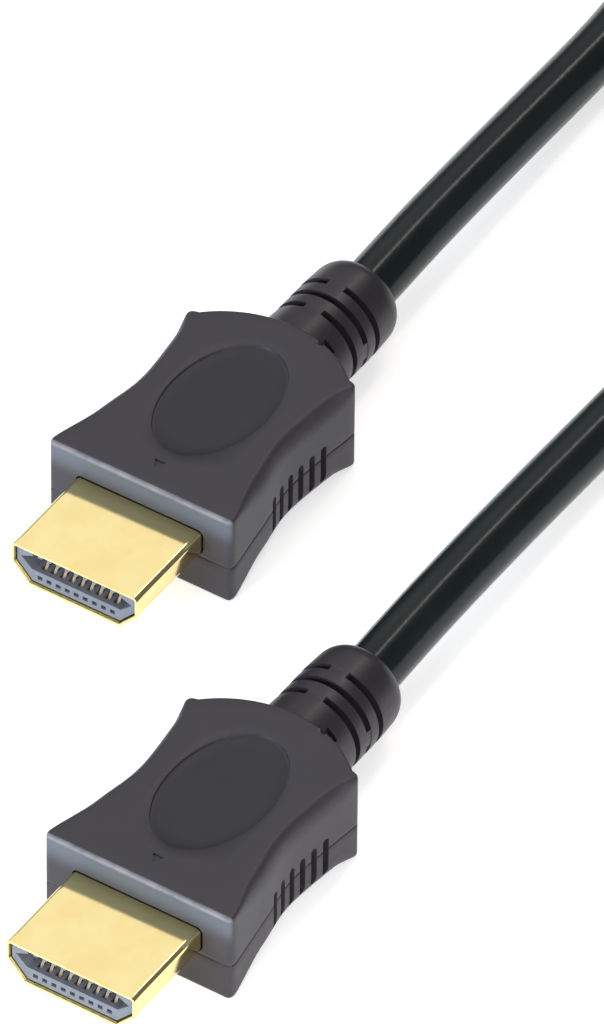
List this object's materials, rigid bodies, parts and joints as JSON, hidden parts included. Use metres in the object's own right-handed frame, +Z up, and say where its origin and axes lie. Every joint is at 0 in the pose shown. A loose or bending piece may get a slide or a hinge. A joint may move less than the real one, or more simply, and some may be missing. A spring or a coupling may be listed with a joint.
{
  "type": "hdmi cable",
  "caption": "Round black digital video cable with a gold-plated flat plug, waisted moulded body and slotted strain relief at each end, its spare length folded in a tied hank.",
  "frame": {"origin": "on the floor, under plug A's moulded body, 12.3 mm behind its nose and 13.5 mm in front of its back rim", "axes": "+Z up from the floor; both plugs point to -Y, so their leads run back along +Y; +X from plug A towards plug B"},
  "size_m": [0.0512, 0.263, 0.0188],
  "materials": {
    "gold_plated_shell": "satin gold plate",
    "gold_plated_contacts": "bright gold plate",
    "carrier_plastic": "satin moulded",
    "body_plastic": "fine matte moulded",
    "strain_relief_plastic": "satin moulded",
    "cable_jacket": "gloss extruded",
    "tie_plastic": "matte moulded"
  },
  "bodies": {
    "root": {"plug_a_shell": "gold_plated_shell", "plug_a_contact_carrier": "carrier_plastic", "plug_a_upper_contact_1": "gold_plated_contacts", "plug_a_upper_contact_2": "gold_plated_contacts", "plug_a_upper_contact_3": "gold_plated_contacts", "plug_a_upper_contact_4": "gold_plated_contacts", "plug_a_upper_contact_5": "gold_plated_contacts", "plug_a_upper_contact_6": "gold_plated_contacts", "plug_a_upper_contact_7": "gold_plated_contacts", "plug_a_upper_contact_8": "gold_plated_contacts", "plug_a_upper_contact_9": "gold_plated_contacts", "plug_a_upper_contact_10": "gold_plated_contacts", "plug_a_lower_contact_1": "gold_plated_contacts", "plug_a_lower_contact_2": "gold_plated_contacts", "plug_a_lower_contact_3": "gold_plated_contacts", "plug_a_lower_contact_4": "gold_plated_contacts", "plug_a_lower_contact_5": "gold_plated_contacts", "plug_a_lower_contact_6": "gold_plated_contacts", "plug_a_lower_contact_7": "gold_plated_contacts", "plug_a_lower_contact_8": "gold_plated_contacts", "plug_a_lower_contact_9": "gold_plated_contacts", "plug_a_body": "body_plastic", "plug_a_strain_relief": "strain_relief_plastic", "plug_b_shell": "gold_plated_shell", "plug_b_contact_carrier": "carrier_plastic", "plug_b_upper_contact_1": "gold_plated_contacts", "plug_b_upper_contact_2": "gold_plated_contacts", "plug_b_upper_contact_3": "gold_plated_contacts", "plug_b_upper_contact_4": "gold_plated_contacts", "plug_b_upper_contact_5": "gold_plated_contacts", "plug_b_upper_contact_6": "gold_plated_contacts", "plug_b_upper_contact_7": "gold_plated_contacts", "plug_b_upper_contact_8": "gold_plated_contacts", "plug_b_upper_contact_9": "gold_plated_contacts", "plug_b_upper_contact_10": "gold_plated_contacts", "plug_b_lower_contact_1": "gold_plated_contacts", "plug_b_lower_contact_2": "gold_plated_contacts", "plug_b_lower_contact_3": "gold_plated_contacts", "plug_b_lower_contact_4": "gold_plated_contacts", "plug_b_lower_contact_5": "gold_plated_contacts", "plug_b_lower_contact_6": "gold_plated_contacts", "plug_b_lower_contact_7": "gold_plated_contacts", "plug_b_lower_contact_8": "gold_plated_contacts", "plug_b_lower_contact_9": "gold_plated_contacts", "plug_b_body": "body_plastic", "plug_b_strain_relief": "strain_relief_plastic", "cable_lead_a": "cable_jacket", "cable_lead_b": "cable_jacket", "cable_hank": "cable_jacket", "hank_tie": "tie_plastic"}
  },
  "joints": []
}
